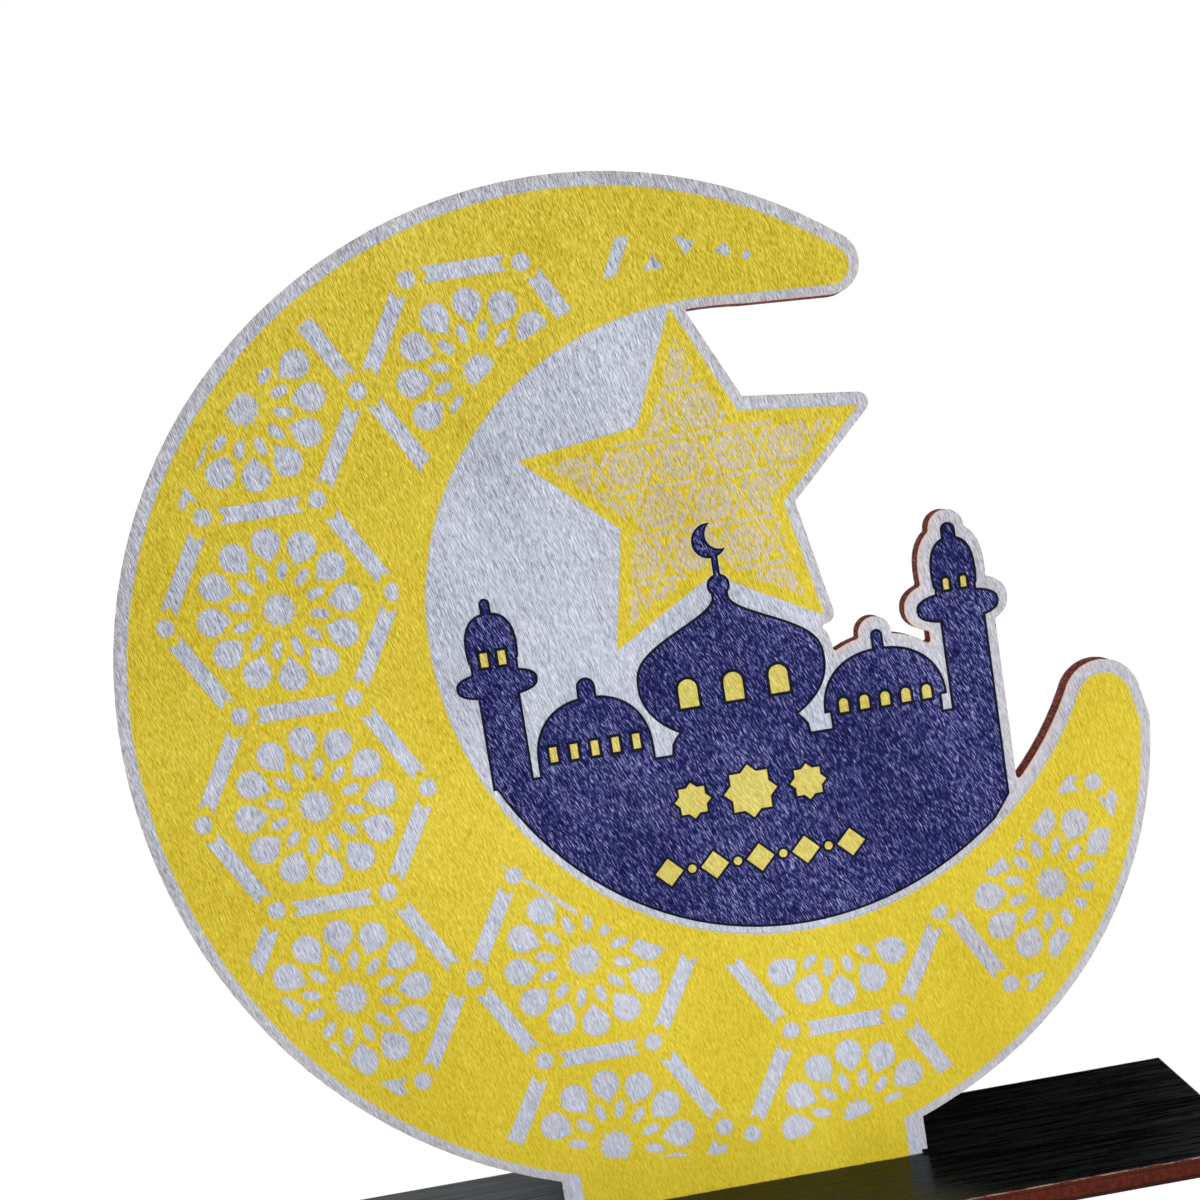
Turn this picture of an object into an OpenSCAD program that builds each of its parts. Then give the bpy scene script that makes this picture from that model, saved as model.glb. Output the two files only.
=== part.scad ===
// Standing crescent ornament: a printed plywood panel whose tab drops into a black base.
// Millimetres, Z up, the printed face looks towards -Y.
// The origin is the middle of the base's underside.
// Artwork places are measured along X and Z from the artwork's own middle.

/* [Base] */
// Length of the base board
base_w = 142; // [120:1:200]
// Depth of the base board, front to back
base_d = 31; // [24:1:60]
// Thickness of the base board with its paint
base_t = 3; // [2.4:0.1:6]
// Thickness of each outer ply of the base
base_veneer_t = 0.5; // [0.3:0.05:0.8]
// Thickness of the black paint on the top of the base
paint_t = 0.1; // [0.05:0.01:0.2]
// Gap between the tab and each wall of the slot
slot_gap = 0.1; // [0.05:0.01:0.3]

/* [Panel] */
// Thickness of the panel with its coat and print
panel_t = 3; // [2.4:0.1:6]
// Thickness of each outer ply of the panel
panel_veneer_t = 0.5; // [0.3:0.05:0.8]
// Thickness of the pale ground coat
coat_t = 0.1; // [0.05:0.01:0.15]
// Thickness of the coloured print on the coat
print_t = 0.1; // [0.05:0.01:0.15]
// How far the middle of the panel's thickness stands behind the middle of the base
panel_back = 0.5; // [-4:0.1:4]
// Width of the neck that stands on the base
neck_w = 55; // [40:0.5:64]
// How much narrower the tab is than the neck, on each side
tab_inset = 0.9; // [0.4:0.1:4]
// Gap between the neck's shoulders and the base
shoulder_gap = 0.5; // [0:0.1:2]
// Pale border between the print and the cut edge
border_w = 1.55; // [1.2:0.05:3]
// How far the cut outline lies to the left of the print's middle
cut_shift_x = 0.2; // [0:0.05:0.5]
// How far the cut outline lies above the print's middle
cut_shift_z = 0.35; // [0:0.05:0.5]
// Radius of the cut in the board's inward corners
notch_r = 0.4; // [0.1:0.05:1]
// Pale border at each side of the neck's print
neck_border = 2.7; // [1.5:0.1:5]
// Bare strip that coat and print leave at the tab's foot
foot_bare = 1; // [0.5:0.1:2]

/* [Artwork place] */
// Artwork's middle, across from the middle of the base
art_x = -4.9; // [-12:0.1:2]
// Height of the crescent's lowest edge above the underside of the base
crescent_lift = 4.4; // [3.6:0.1:8]

/* [Crescent] */
// Middle of the crescent's outer edge, across
outer_x = 0.1; // [-2:0.1:2]
// Middle of the crescent's outer edge, up
outer_z = -3.1; // [-5:0.1:-1]
// Mean radius of the outer edge
outer_r = 73.1; // [70:0.1:76]
// How much the outer edge is drawn out lengthwise
outer_oval = 2.8; // [0:0.1:3.5]
// Direction in which it is drawn out
outer_oval_turn = 130.9; // [120:0.1:140]
// How much the outer edge is egg-shaped
outer_egg = 1; // [0:0.1:1.5]
// Direction of the egg's blunt end
outer_egg_turn = 88.4; // [60:0.1:100]
// How much the outer edge is squared
outer_square = 0.45; // [0:0.05:0.8]
// Direction of a flat of the squared edge
outer_square_turn = 14.7; // [0:0.1:45]
// Middle of the inner edge, across
inner_x = 19.6; // [17:0.1:22]
// Middle of the inner edge, up
inner_z = 6.7; // [5:0.1:9]
// Mean radius of the inner edge
inner_r = 47.6; // [46:0.1:49]
// How much the inner edge is drawn out lengthwise
inner_oval = 1.1; // [0:0.1:2]
// Direction in which it is drawn out
inner_oval_turn = 165.5; // [150:0.1:180]
// How much the inner edge is egg-shaped
inner_egg = 0.7; // [0:0.1:1.2]
// Direction of the egg's blunt end
inner_egg_turn = 17; // [0:0.5:40]
// Place where the upper horn's straight lower edge begins, across
horn_root_x = 17; // [14:0.5:22]
// Height of that place
horn_root_z = 52.8; // [52:0.1:54]
// Slope of the upper horn's lower edge, in degrees
horn_slope = 3; // [0:0.5:6]
// Radius of the upper horn's tip
upper_tip_r = 2.9; // [2:0.1:4]
// Height of the lower horn's top
lower_horn_z = -9.3; // [-14:0.1:-6]
// Place where the lower horn's top turns down, across
lower_horn_x = 71.2; // [68:0.1:72]
// Slope of the lower horn's outer side from there, in degrees
lower_horn_slope = 78; // [60:1:84]
// Radius of the lower horn's tip
lower_tip_r = 4.2; // [3:0.1:4.5]

/* [Rosette pattern] */
// Middle of the first rosette, across
rosette_x = -49; // [-51:0.5:-47]
// Middle of the first rosette, up
rosette_z = 47.3; // [46:0.1:49]
// Height from one rosette to the next below it
rosette_pitch = 28.8; // [28.4:0.1:32]
// Turn of every rosette's leaves, in degrees
rosette_turn = 1.5; // [0:0.5:5]
// Number of drops and petals round a rosette
rosette_n = 12; // [8:1:14]
// Radius of a drop's round end
drop_r = 1.96; // [1.2:0.01:2]
// Length of a drop from its point to the middle of its round end
drop_len = 2.75; // [2.3:0.05:3]
// Distance from the rosette's middle to a drop's round end
drop_ring_r = 9.75; // [9.2:0.05:10]
// Length of a petal
petal_len = 2.6; // [1.6:0.1:3]
// Width of a petal
petal_w = 1.4; // [0.8:0.1:1.6]
// Distance from the rosette's middle to a petal's middle
petal_ring_r = 5.7; // [5.2:0.1:6]
// Outer radius of the rosette's small star
seed_r = 2.6; // [1.8:0.1:3]
// Radius of the notches of the small star
seed_notch_r = 1.75; // [1:0.05:2]
// Distance from the rosette's middle to a bar
bar_ring_r = 14.4; // [14:0.1:15]
// Length of a bar
bar_len = 11.8; // [9:0.1:12]
// Width of a bar
bar_w = 2.3; // [1.5:0.1:2.5]
// Depth of the notch in each end of a bar
bar_notch = 1; // [0:0.1:1.5]
// Distance from the rosette's middle to a dot
dot_ring_r = 16.3; // [16:0.1:17]
// Radius of a dot
dot_r = 1.15; // [0.6:0.05:1.3]
// Width of plain yellow between the pattern and the crescent's outer edge
outer_margin = 3.4; // [2.5:0.1:6]
// Width of plain yellow between the pattern and the crescent's inner edge
inner_margin = 4.1; // [2.5:0.1:6]
// Width below which a cut-off piece of the pattern is left out
sliver_w = 0.5; // [0.1:0.05:0.6]

/* [Star] */
// Middle of the star, across
star_x = 13; // [12:0.1:14]
// Middle of the star, up
star_z = 26.2; // [25.5:0.1:27]
// Radius of the star's points
star_r = 26.2; // [25:0.1:26.5]
// Radius of the star's notches
star_notch_r = 12.7; // [11:0.1:14]
// Turn of the star, in degrees
star_turn = 0.5; // [0:0.5:3]

/* [Mosque body] */
// Left side of the body
body_left = -23.1; // [-24:0.1:-22]
// Right side of the body
body_right = 52; // [51:0.1:52.5]
// Height of the body's top
body_top = -11.4; // [-12.5:0.1:-11]
// Pale gap between the body and the crescent's inner edge
body_gap = 0.95; // [0.6:0.05:2]
// Height of the body's lower right corner
body_corner_z = -25.4; // [-27:0.1:-24]
// Slope of the cut under that corner, in degrees
body_corner_slope = 53; // [50:1:70]

/* [Left minaret] */
// Axis of the left minaret
left_minaret_x = -20; // [-21:0.1:-19.5]
// Width of its shaft
left_shaft_w = 6.1; // [5:0.1:7]
// Width of its balcony
left_balcony_w = 11.9; // [9:0.1:13]
// Height of its balcony
left_balcony_h = 4.1; // [3:0.1:5]
// Middle height of its balcony
left_balcony_z = 3; // [2:0.1:4]
// Width of its cap
left_cap_w = 7.6; // [6:0.1:9]
// Height of the cap's round top above its middle
left_cap_rise = 5; // [3:0.1:6]
// Middle height of its cap
left_cap_z = 8.4; // [8:0.1:9]
// Width of its finial
left_finial_w = 1.6; // [1:0.1:2.5]
// Height of the finial's tip
left_finial_z = 15.5; // [14.5:0.1:17]

/* [Right minaret] */
// Axis of the right minaret
right_minaret_x = 48.1; // [47.5:0.1:48.5]
// Width of its shaft, whose right side is the body's
right_shaft_w = 6.8; // [5:0.1:7]
// Width of its balcony
right_balcony_w = 12.3; // [9:0.1:13]
// Height of its balcony
right_balcony_h = 4.6; // [3:0.1:5]
// Middle height of its balcony
right_balcony_z = 3.5; // [3:0.1:4]
// Width of its cap
right_cap_w = 6.8; // [6:0.1:9]
// Height of the cap's round top above its middle
right_cap_rise = 5.2; // [3:0.1:6]
// Middle height of its cap
right_cap_z = 8.5; // [8:0.1:9]
// Width of its finial
right_finial_w = 2.2; // [1:0.1:2.5]
// Height of the finial's tip
right_finial_z = 15.8; // [15:0.1:17]

/* [Left dome] */
// Axis of the left dome
left_dome_x = -7.5; // [-8:0.1:-7]
// Width of the left dome
left_dome_w = 17.1; // [16:0.1:17.6]
// Height at which its sides begin to curve
left_spring_z = -9.5; // [-10.5:0.1:-8.5]
// Height of its top
left_dome_z = -0.9; // [-2:0.1:0]
// Width of its finial
left_knob_w = 2.8; // [1.5:0.1:3.5]
// Height of the finial's tip
left_knob_z = 1.9; // [1:0.1:3]

/* [Right dome] */
// Axis of the right dome
right_dome_x = 35.6; // [35.3:0.1:35.9]
// Width of the right dome
right_dome_w = 18.4; // [17:0.1:18.6]
// Height at which its sides begin to curve
right_spring_z = -9.1; // [-10:0.1:-8.5]
// Height of its top
right_dome_z = -0.7; // [-2:0.1:0]
// Width of the wall below the dome
right_wall_w = 16.7; // [15:0.1:17]
// Width of its finial
right_knob_w = 1.8; // [1.5:0.1:3.5]
// Height of the finial's tip
right_knob_z = 2; // [1:0.1:3]

/* [Main dome] */
// Axis of the main dome
main_x = 13.8; // [13.5:0.1:14.2]
// Width of the main dome where it is widest
main_w = 27.8; // [26:0.1:28.4]
// Height of its widest place
main_wide_z = -1.2; // [-2:0.1:-0.5]
// Half height of the oval under the widest place
main_under_h = 9.4; // [8.8:0.1:11]
// Height of the seat on which the dome stands
main_seat_z = -8.4; // [-9:0.1:-8]
// Height at which the dome's neck ends
main_neck_z = 10.4; // [9.5:0.1:11]
// Width of the dome's neck
main_neck_w = 2.5; // [1.5:0.1:3.5]
// Width of the drum at the body's top
drum_w = 20.7; // [19:0.1:21.4]
// Radius of the ball on the neck
ball_r = 1.7; // [1.3:0.1:2.2]
// Height of the ball's middle
ball_z = 12; // [11.2:0.1:12.4]
// Width of the stem over the ball
stem_w = 1.05; // [0.8:0.05:1.6]
// Radius of the small crescent on the stem
moon_r = 2.6; // [2:0.05:2.8]
// Height of the small crescent's middle
moon_z = 18.6; // [18:0.1:19]
// Radius of the small crescent's hollow
moon_hollow_r = 2.15; // [1.6:0.05:2.2]

/* [Windows] */
// Width of the dark line round the windows and the mosque
line_w = 0.27; // [0.15:0.01:0.35]
// Width of a window in the left minaret
left_slot_w = 1.25; // [0.8:0.05:1.5]
// Height of a window in the left minaret
left_slot_h = 2.2; // [1.5:0.1:2.6]
// Sill height of the left minaret's windows
left_slot_z = 5.6; // [5.5:0.1:6.2]
// Width of a window in the left dome
left_window_w = 1.25; // [0.8:0.05:1.8]
// Height of a window in the left dome
left_window_h = 2.35; // [1.5:0.05:3]
// Sill height of the left dome's windows
left_window_z = -9.7; // [-10:0.1:-9]
// Distance between the left dome's windows
left_window_pitch = 3.05; // [2.6:0.05:3.2]
// Width of a window in the main dome
main_window_w = 2.95; // [2:0.05:4]
// Height of a window in the main dome
main_window_h = 4.3; // [3:0.1:5.5]
// Sill height of the main dome's windows
main_window_z = -5; // [-5.5:0.1:-4]
// Distance between the main dome's windows
main_window_pitch = 6.7; // [5:0.1:7]
// Width of a window in the right dome
right_window_w = 1.5; // [1:0.05:1.8]
// Height of a window in the right dome
right_window_h = 2.2; // [1.6:0.1:3]
// Sill height of the right dome's windows
right_window_z = -9.4; // [-9.8:0.1:-8.8]
// Distance between the right dome's windows
right_window_pitch = 3.1; // [2.6:0.05:3.2]
// Width of a window in the right minaret
right_slot_w = 1; // [0.7:0.05:1.2]
// Height of a window in the right minaret
right_slot_h = 1.8; // [1.4:0.1:2.4]
// Sill height of the right minaret's windows
right_slot_z = 6; // [5.9:0.1:6.6]
// Distance between the two windows of a minaret
slot_pitch = 2.6; // [2:0.05:2.8]

/* [Ornament] */
// Axis of the ornament on the mosque's wall
ornament_x = 14; // [12:0.1:16]
// Height of the row of eight-pointed stars
khatam_z = -18.6; // [-20:0.1:-18]
// Side of the squares that make the middle eight-pointed star
khatam_side = 5.6; // [4:0.1:6]
// Side of the squares that make the outer eight-pointed stars
small_khatam_side = 3.8; // [3:0.1:4.5]
// Distance between the eight-pointed stars
khatam_pitch = 8.6; // [7.6:0.1:10]
// Height of the row of lozenges
lozenge_z = -28.6; // [-30:0.1:-27.8]
// Side of a lozenge
lozenge_side = 2.9; // [2:0.1:3.1]
// Number of lozenges
lozenge_n = 5; // [3:1:5]
// Distance between the lozenges
lozenge_pitch = 6.8; // [6.6:0.1:7.4]
// Radius of the beads between the lozenges
bead_r = 0.6; // [0.4:0.05:0.7]

/* [Hidden] */
$fn = 24;
overrun = 1;
curve_steps = 120;
part_steps = 30;

// Layers, from the underside of the base up
base_core_t = base_t - 2*base_veneer_t - paint_t;
base_core_z = base_veneer_t;
base_top_z = base_core_z + base_core_t;
paint_z = base_top_z + base_veneer_t;

// Layers of the panel, from its back forwards; the front looks towards -Y
back_y = panel_back + panel_t/2;
panel_core_t = panel_t - 2*panel_veneer_t - coat_t - print_t;
core_y = back_y - panel_veneer_t;
front_veneer_y = core_y - panel_core_t;
coat_y = front_veneer_y - panel_veneer_t;
print_y = coat_y - coat_t;

// The neck and its tab, across and up from the artwork's middle
art_h = crescent_lift + outer_r - outer_z;
neck_root_share = 0.92;
neck_x = -art_x;
foot_z = -art_h;
shoulder_z = foot_z + base_t + shoulder_gap;
tab_w = neck_w - 2*tab_inset;
neck_print_w = neck_w - 2*neck_border;
neck_top_z = outer_z - neck_root_share*outer_r;
reach = 2*outer_r;

// Shares of the minarets' outlines
balcony_power = 2.5;
cap_power = 2.4;
dome_power = 2.2;
collar_share = 0.91;
// A cap's outline starts and ends a little under its widest place
cap_start = -20;
cap_end = 200;
// Numbers of windows in each minaret, each side dome and the main dome
slot_n = 2;
side_window_n = 5;
main_window_n = 3;

// The drum's half width at heights between the seat and the body's top
drum_shares = [[0.855, 0], [0.93, 0.27], [0.98, 0.53], [1, 1]];
// How the small crescent and its hollow stand beside the main axis, in small crescent radii
moon_shift_share = -0.16;
moon_hollow_shift_shares = [0.65, 0.29];
main_neck_power = 1.5;

// Places of the rosettes, in rosette pitches from the first; an earlier one keeps a shared dot or bar
rosette_place_shares = [
    [0, 0], [0.007, -1], [0.014, -2], [1.215, -3.007], [0.021, -3],
    [1.174, 0.007], [1.226, -4.01], [2.493, -3.073], [2.497, -4.073], [3.663, -3.031]
];
// Loose chips of pattern on the upper horn, in rosette pitches from the first rosette
chip_shares = [
    [[1.847, 0.363], [1.934, 0.545], [1.997, 0.538], [1.903, 0.363]],
    [[2.049, 0.368], [2.101, 0.434], [2.144, 0.368]],
    [[2.214, 0.517], [2.318, 0.467], [2.266, 0.415]],
    [[2.417, 0.413], [2.458, 0.441], [2.49, 0.406], [2.458, 0.382]],
    [[2.542, 0.368], [2.563, 0.389], [2.583, 0.368], [2.563, 0.347]]
];
petal_shares = [[1, 0], [0.6, 0.8], [-0.6, 0.8], [-1, 0], [-0.6, -0.8], [0.6, -0.8]];
sides = 6;

function wave(angle, size, count, turn) = size*cos(count*(angle - turn));
function polar(r, angle) = [r*cos(angle), r*sin(angle)];

// Radius of the crescent's outer and inner edge in a given direction
function outer_edge(angle) = outer_r + wave(angle, outer_oval, 2, outer_oval_turn)
    + wave(angle, outer_egg, 3, outer_egg_turn) - wave(angle, outer_square, 4, outer_square_turn);
function inner_edge(angle) = inner_r + wave(angle, inner_oval, 2, inner_oval_turn)
    + wave(angle, inner_egg, 3, inner_egg_turn);

// An oval with squarer shoulders as its power grows above two
function shoulder(c, power) = sign(c)*pow(abs(c), 2/power);
function oval(half_w, half_h, power, from, to) = [
    for (i = [0:part_steps])
    let (angle = from + (to - from)*i/part_steps)
    [half_w*shoulder(cos(angle), power), half_h*shoulder(sin(angle), power)]
];

// Half width of the main dome above and below its widest place
function main_over(t) = main_neck_w/2
    + (main_w - main_neck_w)/2*(1 + cos(180*pow(t, main_neck_power)))/2;
function main_under(t) = main_w/2*sqrt(1 - pow(t*(main_wide_z - main_seat_z)/main_under_h, 2));

// Everything that the rosettes share: the places of their dots and bars
rosettes = [for (p = rosette_place_shares) [rosette_x, rosette_z] + rosette_pitch*p];
dots = [for (c = rosettes) for (k = [0:sides - 1]) c + polar(dot_ring_r, 360/sides*k)];
bars = [
    for (c = rosettes) for (k = [0:sides - 1])
    let (angle = 360/sides*(k + 1/2))
    [c.x + bar_ring_r*cos(angle), c.y + bar_ring_r*sin(angle), angle]
];
function first_there(places, i, near) = len([
    for (j = [0:1:i - 1]) if (norm([places[i].x - places[j].x, places[i].y - places[j].y]) < near) j
]) == 0;

// Outlines of the artwork, flat, X across and Y up

module outer_blob(inset) {
    translate([outer_x, outer_z])
        polygon([for (i = [0:curve_steps - 1])
            let (angle = 360/curve_steps*i) polar(outer_edge(angle) - inset, angle)]);
}

module inner_blob(grow) {
    translate([inner_x, inner_z])
        polygon([for (i = [0:curve_steps - 1])
            let (angle = 360/curve_steps*i) polar(inner_edge(angle) + grow, angle)]);
}

// The open side of the crescent, between its horns
module mouth() {
    polygon([
        [horn_root_x, horn_root_z],
        [horn_root_x + reach, horn_root_z - reach*tan(horn_slope)],
        [lower_horn_x + reach, lower_horn_z - reach*tan(lower_horn_slope)],
        [lower_horn_x, lower_horn_z],
        [horn_root_x, lower_horn_z]
    ]);
}

// The crescent with the tips of its horns rounded to the given radius
module rounded_crescent(tip_r) {
    offset(r = tip_r)
        offset(delta = -tip_r)
            difference() {
                outer_blob(0);
                inner_blob(0);
                mouth();
            }
}

module crescent() {
    intersection() {
        rounded_crescent(upper_tip_r);
        translate([-reach, outer_z])
            square([2*reach, reach]);
    }
    intersection() {
        rounded_crescent(lower_tip_r);
        translate([-reach, outer_z - reach])
            square([2*reach, reach]);
    }
}

module neck(width, top_z, bottom_z) {
    translate([neck_x - width/2, bottom_z])
        square([width, top_z - bottom_z]);
}

module star() {
    translate([star_x, star_z])
        rotate(90 + star_turn)
            polygon([for (i = [0:9]) polar(i % 2 == 0 ? star_r : star_notch_r, 36*i)]);
}

// A tower with its balcony, cap and finial; its foot stands on the body
module minaret(x, shaft_x, shaft_w, balcony_w, balcony_h, balcony_z,
        cap_w, cap_rise, cap_z, finial_w, finial_z) {
    translate([shaft_x - shaft_w/2, body_top - overrun])
        square([shaft_w, balcony_z - body_top + overrun]);
    translate([x, balcony_z])
        polygon(oval(balcony_w/2, balcony_h/2, balcony_power, 0, 360));
    translate([x - cap_w*collar_share/2, balcony_z])
        square([cap_w*collar_share, cap_z - balcony_z]);
    translate([x, cap_z])
        polygon(oval(cap_w/2, cap_rise, cap_power, cap_start, cap_end));
    finial(x, cap_z, finial_w, finial_z);
}

module finial(x, from_z, width, top_z) {
    translate([x, top_z - width/2])
        circle(d = width);
    translate([x - width/2, from_z])
        square([width, top_z - width/2 - from_z]);
}

// A round dome on straight walls, with its finial
module side_dome(x, width, spring_z, top_z, wall_w, knob_w, knob_z) {
    translate([x, spring_z])
        polygon(oval(width/2, top_z - spring_z, dome_power, 0, 180));
    translate([x - wall_w/2, body_top - overrun])
        square([wall_w, spring_z - body_top + overrun]);
    finial(x, spring_z, knob_w, knob_z);
}

module main_dome() {
    under = [for (i = [0:part_steps/3])
        let (t = 1 - i*3/part_steps)
        [main_under(t), main_wide_z - t*(main_wide_z - main_seat_z)]];
    over = [for (i = [1:part_steps])
        let (t = i/part_steps)
        [main_over(t), main_wide_z + t*(main_neck_z - main_wide_z)]];
    drum = [for (i = [len(drum_shares) - 1:-1:0])
        [drum_w/2*drum_shares[i][0], main_seat_z + (body_top - main_seat_z)*drum_shares[i][1]]];
    side = concat([[drum_w/2, body_top - overrun]], drum, under, over, [[main_neck_w/2, ball_z]]);
    translate([main_x, 0])
        for (s = [-1, 1])
            polygon(concat([[0, body_top - overrun]], [for (p = side) [s*p.x, p.y]], [[0, ball_z]]));
    translate([main_x, ball_z])
        circle(r = ball_r);
    translate([main_x - stem_w/2, ball_z])
        square([stem_w, moon_z - moon_r - ball_z + stem_w/2]);
    translate([main_x + moon_shift_share*moon_r, moon_z])
        difference() {
            circle(r = moon_r);
            translate(moon_r*moon_hollow_shift_shares)
                circle(r = moon_hollow_r);
        }
}

// The mosque's silhouette, grown by a line all round
module mosque(grow) {
    offset(delta = grow) {
        intersection() {
            inner_blob(-body_gap);
            polygon([
                [body_left, body_top],
                [body_left, body_corner_z - (body_right - body_left)*tan(body_corner_slope)],
                [body_right, body_corner_z], [body_right, body_top]
            ]);
        }
        minaret(left_minaret_x, left_minaret_x, left_shaft_w, left_balcony_w, left_balcony_h,
            left_balcony_z, left_cap_w, left_cap_rise, left_cap_z, left_finial_w, left_finial_z);
        minaret(right_minaret_x, body_right - right_shaft_w/2, right_shaft_w, right_balcony_w,
            right_balcony_h, right_balcony_z, right_cap_w, right_cap_rise, right_cap_z,
            right_finial_w, right_finial_z);
        side_dome(left_dome_x, left_dome_w, left_spring_z, left_dome_z, left_dome_w,
            left_knob_w, left_knob_z);
        side_dome(right_dome_x, right_dome_w, right_spring_z, right_dome_z, right_wall_w,
            right_knob_w, right_knob_z);
        main_dome();
    }
}

// A row of windows with round or square heads, each grown by a line all round
module window_row(x, sill_z, count, pitch, width, height, round_head, grow) {
    half = width/2 + grow;
    head = [for (i = [0:part_steps/3])
        let (angle = 180*3/part_steps*i)
        [half*cos(angle), height - width/2 + half*sin(angle)]];
    for (i = [0:count - 1])
        translate([x + pitch*(i - (count - 1)/2), sill_z])
            polygon(round_head
                ? concat([[-half, -grow], [half, -grow]], head)
                : [[-half, -grow], [half, -grow], [half, height + grow], [-half, height + grow]]);
}

module windows(grow) {
    window_row(left_minaret_x, left_slot_z, slot_n, slot_pitch, left_slot_w, left_slot_h,
        false, grow);
    window_row(left_dome_x, left_window_z, side_window_n, left_window_pitch, left_window_w,
        left_window_h, false, grow);
    window_row(main_x, main_window_z, main_window_n, main_window_pitch, main_window_w,
        main_window_h, true, grow);
    window_row(right_dome_x, right_window_z, side_window_n, right_window_pitch,
        right_window_w, right_window_h, true, grow);
    window_row(right_minaret_x, right_slot_z, slot_n, slot_pitch, right_slot_w, right_slot_h,
        true, grow);
}

// Two squares across each other
module khatam(side) {
    for (angle = [0, 45])
        rotate(angle)
            square(side, center = true);
}

module ornament(grow) {
    for (i = [-1:1])
        translate([ornament_x + khatam_pitch*i, khatam_z])
            khatam((i == 0 ? khatam_side : small_khatam_side) + 2*grow);
    for (i = [0:lozenge_n - 1])
        translate([ornament_x + lozenge_pitch*(i - (lozenge_n - 1)/2), lozenge_z])
            rotate(45)
                square(lozenge_side + 2*grow, center = true);
    for (i = [0:lozenge_n - 2])
        translate([ornament_x + lozenge_pitch*(i - (lozenge_n - 2)/2), lozenge_z])
            circle(r = bead_r + grow);
}

// The outline that the panel is cut to, with its neck and tab
module board(bottom_z) {
    translate([-cut_shift_x, cut_shift_z])
        offset(r = -notch_r)
            offset(r = border_w + notch_r) {
                crescent();
                star();
                mosque(0);
                intersection() {
                    inner_blob(0);
                    translate([star_x - reach, -reach])
                        square([reach, 2*reach]);
                }
            }
    neck(neck_w, neck_top_z, shoulder_z);
    neck(tab_w, shoulder_z + overrun, bottom_z);
}

// Pieces of the rosette pattern

module drop() {
    touch = acos(drop_r/drop_len);
    span = 360 - 2*touch;
    translate([drop_ring_r, 0])
        rotate(180)
            polygon(concat([[drop_len, 0]],
                [for (i = [0:part_steps/3]) polar(drop_r, touch + span*3/part_steps*i)]));
}

module petal() {
    translate([petal_ring_r, 0])
        polygon([for (p = petal_shares) [petal_len/2*p.x, petal_w/2*p.y]]);
}

module rosette() {
    for (k = [0:rosette_n - 1]) {
        rotate(360/rosette_n*k)
            drop();
        rotate(360/rosette_n*(k + 1/2))
            petal();
    }
    polygon([for (k = [0:2*rosette_n - 1])
        polar(k % 2 == 0 ? seed_r : seed_notch_r, 180/rosette_n*k)]);
}

module bar() {
    polygon([
        [-bar_w/2, -bar_len/2], [0, bar_notch - bar_len/2], [bar_w/2, -bar_len/2],
        [bar_w/2, bar_len/2], [0, bar_len/2 - bar_notch], [-bar_w/2, bar_len/2]
    ]);
}

module pattern() {
    for (c = rosettes)
        translate(c)
            rotate(rosette_turn)
                rosette();
    for (i = [0:len(dots) - 1])
        if (first_there(dots, i, 2*dot_r))
            translate(dots[i])
                circle(r = dot_r);
    for (i = [0:len(bars) - 1])
        if (first_there(bars, i, 2*dot_r))
            translate([bars[i].x, bars[i].y])
                rotate(bars[i][2])
                    bar();
}

// The pattern cut off beside the crescent's edges, without any sliver
module clipped_pattern() {
    offset(delta = sliver_w/2)
        offset(delta = -sliver_w/2)
            intersection() {
                pattern();
                difference() {
                    outer_blob(outer_margin);
                    inner_blob(inner_margin);
                }
            }
}

// Stands a flat outline up as a layer, with its back at the given place
module layer(y, thickness) {
    translate([art_x, y, art_h])
        rotate([90, 0, 0])
            linear_extrude(thickness)
                children();
}

// A board of the base with the slot for the tab
module base_layer(z, thickness) {
    difference() {
        translate([-base_w/2, -base_d/2, z])
            cube([base_w, base_d, thickness]);
        translate([-tab_w/2 - slot_gap, back_y - panel_t - slot_gap, z - overrun])
            cube([tab_w + 2*slot_gap, panel_t + 2*slot_gap, thickness + 2*overrun]);
    }
}

module base_bottom_veneer() {
    color("saddlebrown")
        base_layer(0, base_veneer_t);
}

module base_core() {
    color("sienna")
        base_layer(base_core_z, base_core_t);
}

module base_top_veneer() {
    color("saddlebrown")
        base_layer(base_top_z, base_veneer_t);
}

module base_paint() {
    color([0.05, 0.05, 0.06])
        base_layer(paint_z, paint_t);
}

module panel_back_veneer() {
    color("burlywood")
        layer(back_y, panel_veneer_t)
            board(foot_z);
}

module panel_core() {
    color("sienna")
        layer(core_y, panel_core_t)
            board(foot_z);
}

module panel_front_veneer() {
    color("burlywood")
        layer(front_veneer_y, panel_veneer_t)
            board(foot_z);
}

module ground_coat() {
    color("lavender")
        layer(coat_y, coat_t)
            board(foot_z + foot_bare);
}

module crescent_print() {
    color("gold")
        difference() {
            layer(print_y, print_t)
                union() {
                    crescent();
                    neck(neck_print_w, neck_top_z, foot_z + foot_bare);
                }
            layer(print_y + overrun, print_t + 2*overrun)
                clipped_pattern();
            layer(print_y + overrun, print_t + 2*overrun)
                for (chip = chip_shares)
                    polygon([for (p = chip) [rosette_x, rosette_z] + rosette_pitch*p]);
        }
}

module star_print() {
    color("gold")
        layer(print_y, print_t)
            difference() {
                star();
                mosque(0);
            }
}

module mosque_print() {
    color("midnightblue")
        layer(print_y, print_t)
            difference() {
                mosque(-line_w);
                windows(line_w);
                ornament(line_w);
            }
}

module window_print() {
    color("gold")
        layer(print_y, print_t)
            windows(0);
}

module ornament_print() {
    color("gold")
        layer(print_y, print_t)
            ornament(0);
}

module outline_print() {
    color([0.08, 0.07, 0.18])
        layer(print_y, print_t) {
            difference() {
                mosque(0);
                mosque(-line_w);
            }
            difference() {
                windows(line_w);
                windows(0);
            }
            difference() {
                ornament(line_w);
                ornament(0);
            }
        }
}

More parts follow.
